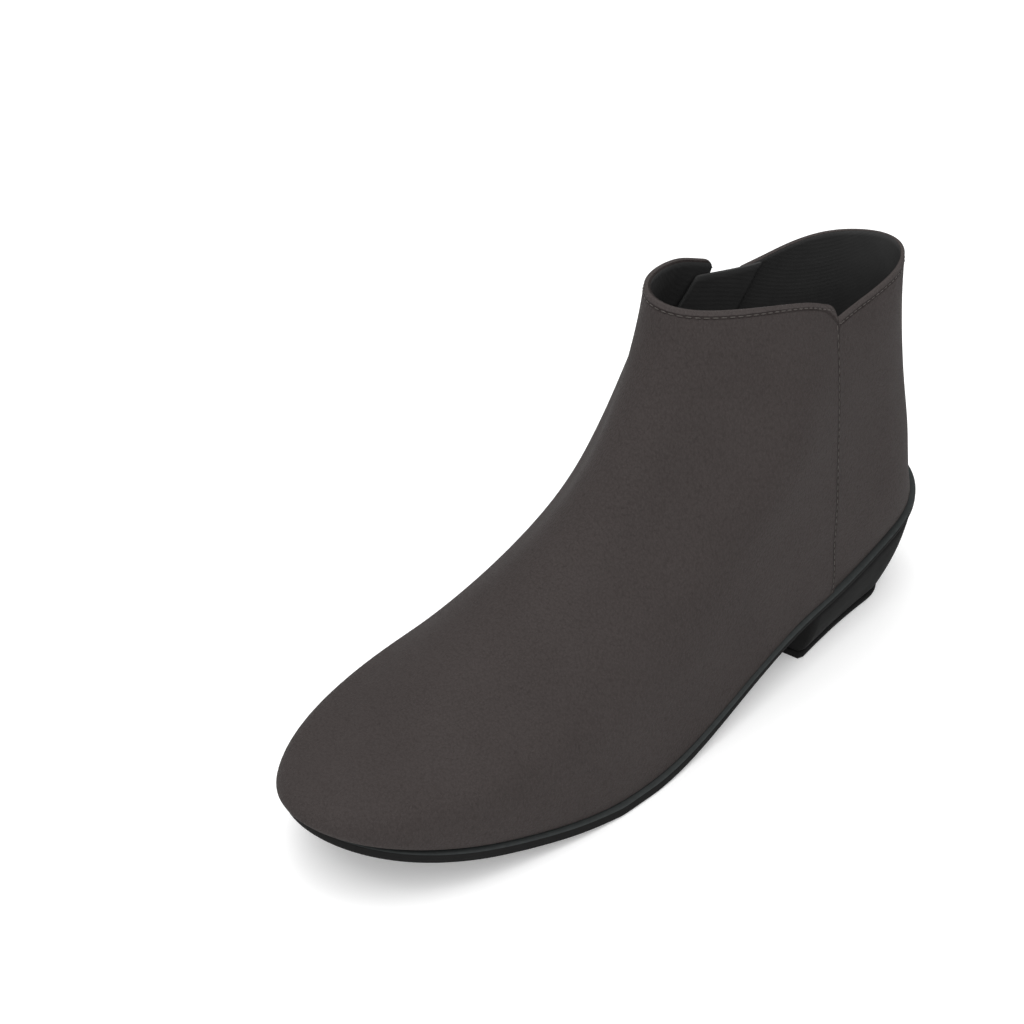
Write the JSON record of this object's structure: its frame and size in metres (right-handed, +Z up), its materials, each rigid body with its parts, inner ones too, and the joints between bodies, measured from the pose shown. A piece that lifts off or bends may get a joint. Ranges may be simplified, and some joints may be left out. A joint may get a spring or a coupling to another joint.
{
  "type": "ankle boot",
  "caption": "Left low-heeled leather ankle boot with a smooth vamp lapped over the quarter, a dipped topline and an inside zip with a hanging pull tab.",
  "frame": {"origin": "on the floor, under the middle of the boot's box", "axes": "toe to -X, heel to +X, inner (medial) side with the zip to +Y, outer (lateral) side to -Y, +Z up"},
  "size_m": [0.2805, 0.0881, 0.1549],
  "materials": {
    "upper_leather": "fine-grained, matt, dark brown-black",
    "lining": "matt black lining",
    "sole_rubber": "matt black rubber",
    "heel_stack": "matt black",
    "zip_tape": "woven grey tape",
    "zip_metal": "polished brass"
  },
  "bodies": {
    "boot": {"outsole": "sole_rubber", "heel": "heel_stack", "heel_lift": "sole_rubber", "insole": "lining", "upper": "upper_leather", "zip_tape": "zip_tape", "zip_guard": "lining", "zip_teeth": "zip_metal", "zip_slider": "zip_metal"},
    "pull_tab": {"zip_pull": "zip_metal"}
  },
  "joints": [
    {"name": "pull_hinge", "type": "hinge", "parent": "boot", "child": "pull_tab", "pos_m": [0.06583, 0.02714, 0.12728], "axis": [0.8797, -0.0843, -0.468], "range_deg": [0, 160]}
  ]
}
